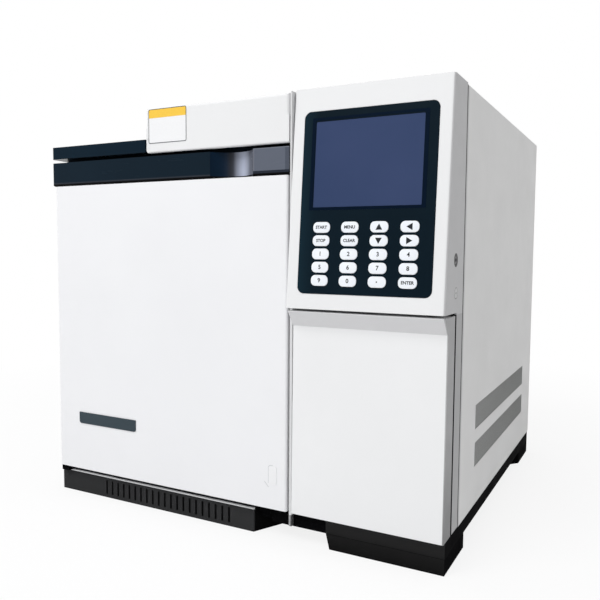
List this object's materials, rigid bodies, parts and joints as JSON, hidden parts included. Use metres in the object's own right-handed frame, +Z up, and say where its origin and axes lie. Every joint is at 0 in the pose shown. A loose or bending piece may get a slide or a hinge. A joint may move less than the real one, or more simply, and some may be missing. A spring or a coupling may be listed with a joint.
{
  "type": "gas chromatograph",
  "caption": "Bench gas chromatograph with a hinged oven door, a lifting injector cover, a keypad column and a hinged door to the gas controls.",
  "frame": {"origin": "on the bench, under the middle of the instrument's overall outline", "axes": "+X to the right as one faces the instrument, +Y to the back, +Z up"},
  "size_m": [0.542, 0.5422, 0.506],
  "materials": {
    "white_paint": "semi-gloss powder coat",
    "white_moulding": "fine satin",
    "black_steel": "black powder coat",
    "dark_grey_steel": "dark grey powder coat",
    "light_grey_steel": "satin grey paint",
    "bare_steel": "bare sheet",
    "stainless": "brushed",
    "fan_steel": "pressed sheet",
    "heater_sheath": "heat-tinted sheath",
    "motor_casting": "painted casting",
    "brass_fitting": "machined",
    "column_tubing": "polyimide-coated tubing",
    "ceramic_wool": "ceramic fibre board",
    "gasket_braid": "braided glass-fibre seal",
    "dark_moulding": "glossy slate-black",
    "navy_panel": "dark navy overlay",
    "display_window": "unlit display window",
    "key_plastic": "satin silicone",
    "knob_plastic": "fluted black",
    "black_plastic": "fine grain",
    "red_rocker": "gloss",
    "circuit_board": "board and parts"
  },
  "bodies": {
    "housing": {"base_pan": "black_steel", "front_plinth": "dark_grey_steel", "feet": "black_plastic", "left_cover": "white_paint", "right_cover": "white_paint", "rear_panel": "white_paint", "centre_partition": "white_paint", "column_fascia": "white_moulding", "operator_bezel": "navy_panel", "display_screen": "display_window", "exhaust_duct": "bare_steel", "oven_shell": "bare_steel", "oven_insulation": "ceramic_wool", "oven_liner": "stainless", "fan_baffle": "stainless", "heater_coil": "heater_sheath", "fan_motor": "motor_casting", "capillary_column": "column_tubing", "injector": "brass_fitting", "detector": "stainless", "top_deck": "dark_moulding", "hinge_brackets": "black_steel", "flow_panel": "light_grey_steel", "flow_valves": "brass_fitting", "electronics": "circuit_board", "side_fittings": "black_plastic", "rear_fittings": "brass_fitting", "power_inlet": "black_plastic"},
    "oven_door": {"oven_door_skin": "white_paint", "oven_door_trim": "dark_moulding", "oven_door_plug": "stainless", "oven_door_gasket": "gasket_braid"},
    "lower_door": {"lower_door": "white_moulding"},
    "injector_cover": {"injector_cover": "white_moulding"},
    "oven_fan": {"oven_fan": "fan_steel"},
    "exhaust_flap": {"exhaust_flap": "light_grey_steel"},
    "power_switch": {"power_switch": "red_rocker"},
    "flow_knob_1": {"flow_knob_1": "knob_plastic"},
    "flow_knob_2": {"flow_knob_2": "knob_plastic"},
    "flow_knob_3": {"flow_knob_3": "knob_plastic"},
    "key_1": {"key_1": "key_plastic"},
    "key_2": {"key_2": "key_plastic"},
    "key_3": {"key_3": "key_plastic"},
    "key_4": {"key_4": "key_plastic"},
    "key_5": {"key_5": "key_plastic"},
    "key_6": {"key_6": "key_plastic"},
    "key_7": {"key_7": "key_plastic"},
    "key_8": {"key_8": "key_plastic"},
    "key_9": {"key_9": "key_plastic"},
    "key_10": {"key_10": "key_plastic"},
    "key_11": {"key_11": "key_plastic"},
    "key_12": {"key_12": "key_plastic"},
    "key_13": {"key_13": "key_plastic"},
    "key_14": {"key_14": "key_plastic"},
    "key_15": {"key_15": "key_plastic"},
    "key_16": {"key_16": "key_plastic"},
    "key_17": {"key_17": "key_plastic"},
    "key_18": {"key_18": "key_plastic"},
    "key_19": {"key_19": "key_plastic"},
    "key_20": {"key_20": "key_plastic"}
  },
  "joints": [
    {"name": "oven_door_hinge", "type": "hinge", "parent": "housing", "child": "oven_door", "pos_m": [-0.26, -0.2516, 0.235], "axis": [0, 0, -1], "range_deg": [0, 100]},
    {"name": "lower_door_hinge", "type": "hinge", "parent": "housing", "child": "lower_door", "pos_m": [0.268, -0.2352, 0.15], "axis": [0, 0, 1], "range_deg": [0, 100]},
    {"name": "injector_cover_hinge", "type": "hinge", "parent": "housing", "child": "injector_cover", "pos_m": [-0.009, 0.0789, 0.4721], "axis": [-1, 0, 0], "range_deg": [0, 95]},
    {"name": "oven_fan_spin", "type": "hinge", "parent": "housing", "child": "oven_fan", "pos_m": [-0.08765, -0.0391, 0.222], "axis": [0, 1, 0], "continuous": true},
    {"name": "exhaust_flap_hinge", "type": "hinge", "parent": "housing", "child": "exhaust_flap", "pos_m": [-0.13765, 0.2525, 0.36], "axis": [1, 0, 0], "range_deg": [0, 60]},
    {"name": "power_switch_rock", "type": "hinge", "parent": "housing", "child": "power_switch", "pos_m": [0.245, 0.246, 0.085], "axis": [1, 0, 0], "range_deg": [0, 16]},
    {"name": "flow_knob_1_turn", "type": "hinge", "parent": "housing", "child": "flow_knob_1", "pos_m": [0.1298, -0.2301, 0.1824], "axis": [0, -1, 0], "range_deg": [0, 900]},
    {"name": "flow_knob_2_turn", "type": "hinge", "parent": "housing", "child": "flow_knob_2", "pos_m": [0.1798, -0.2301, 0.1824], "axis": [0, -1, 0], "range_deg": [0, 900]},
    {"name": "flow_knob_3_turn", "type": "hinge", "parent": "housing", "child": "flow_knob_3", "pos_m": [0.2298, -0.2301, 0.1824], "axis": [0, -1, 0], "range_deg": [0, 900]},
    {"name": "key_1_press", "type": "slide", "parent": "housing", "child": "key_1", "axis": [0, 0.9965, -0.0837], "range_m": [0, 0.001], "stiffness_N_per_m": 500, "springref_m": -0.001},
    {"name": "key_2_press", "type": "slide", "parent": "housing", "child": "key_2", "axis": [0, 0.9965, -0.0837], "range_m": [0, 0.001], "stiffness_N_per_m": 500, "springref_m": -0.001},
    {"name": "key_3_press", "type": "slide", "parent": "housing", "child": "key_3", "axis": [0, 0.9965, -0.0837], "range_m": [0, 0.001], "stiffness_N_per_m": 500, "springref_m": -0.001},
    {"name": "key_4_press", "type": "slide", "parent": "housing", "child": "key_4", "axis": [0, 0.9965, -0.0837], "range_m": [0, 0.001], "stiffness_N_per_m": 500, "springref_m": -0.001},
    {"name": "key_5_press", "type": "slide", "parent": "housing", "child": "key_5", "axis": [0, 0.9965, -0.0837], "range_m": [0, 0.001], "stiffness_N_per_m": 500, "springref_m": -0.001},
    {"name": "key_6_press", "type": "slide", "parent": "housing", "child": "key_6", "axis": [0, 0.9965, -0.0837], "range_m": [0, 0.001], "stiffness_N_per_m": 500, "springref_m": -0.001},
    {"name": "key_7_press", "type": "slide", "parent": "housing", "child": "key_7", "axis": [0, 0.9965, -0.0837], "range_m": [0, 0.001], "stiffness_N_per_m": 500, "springref_m": -0.001},
    {"name": "key_8_press", "type": "slide", "parent": "housing", "child": "key_8", "axis": [0, 0.9965, -0.0837], "range_m": [0, 0.001], "stiffness_N_per_m": 500, "springref_m": -0.001},
    {"name": "key_9_press", "type": "slide", "parent": "housing", "child": "key_9", "axis": [0, 0.9965, -0.0837], "range_m": [0, 0.001], "stiffness_N_per_m": 500, "springref_m": -0.001},
    {"name": "key_10_press", "type": "slide", "parent": "housing", "child": "key_10", "axis": [0, 0.9965, -0.0837], "range_m": [0, 0.001], "stiffness_N_per_m": 500, "springref_m": -0.001},
    {"name": "key_11_press", "type": "slide", "parent": "housing", "child": "key_11", "axis": [0, 0.9965, -0.0837], "range_m": [0, 0.001], "stiffness_N_per_m": 500, "springref_m": -0.001},
    {"name": "key_12_press", "type": "slide", "parent": "housing", "child": "key_12", "axis": [0, 0.9965, -0.0837], "range_m": [0, 0.001], "stiffness_N_per_m": 500, "springref_m": -0.001},
    {"name": "key_13_press", "type": "slide", "parent": "housing", "child": "key_13", "axis": [0, 0.9965, -0.0837], "range_m": [0, 0.001], "stiffness_N_per_m": 500, "springref_m": -0.001},
    {"name": "key_14_press", "type": "slide", "parent": "housing", "child": "key_14", "axis": [0, 0.9965, -0.0837], "range_m": [0, 0.001], "stiffness_N_per_m": 500, "springref_m": -0.001},
    {"name": "key_15_press", "type": "slide", "parent": "housing", "child": "key_15", "axis": [0, 0.9965, -0.0837], "range_m": [0, 0.001], "stiffness_N_per_m": 500, "springref_m": -0.001},
    {"name": "key_16_press", "type": "slide", "parent": "housing", "child": "key_16", "axis": [0, 0.9965, -0.0837], "range_m": [0, 0.001], "stiffness_N_per_m": 500, "springref_m": -0.001},
    {"name": "key_17_press", "type": "slide", "parent": "housing", "child": "key_17", "axis": [0, 0.9965, -0.0837], "range_m": [0, 0.001], "stiffness_N_per_m": 500, "springref_m": -0.001},
    {"name": "key_18_press", "type": "slide", "parent": "housing", "child": "key_18", "axis": [0, 0.9965, -0.0837], "range_m": [0, 0.001], "stiffness_N_per_m": 500, "springref_m": -0.001},
    {"name": "key_19_press", "type": "slide", "parent": "housing", "child": "key_19", "axis": [0, 0.9965, -0.0837], "range_m": [0, 0.001], "stiffness_N_per_m": 500, "springref_m": -0.001},
    {"name": "key_20_press", "type": "slide", "parent": "housing", "child": "key_20", "axis": [0, 0.9965, -0.0837], "range_m": [0, 0.001], "stiffness_N_per_m": 500, "springref_m": -0.001}
  ]
}
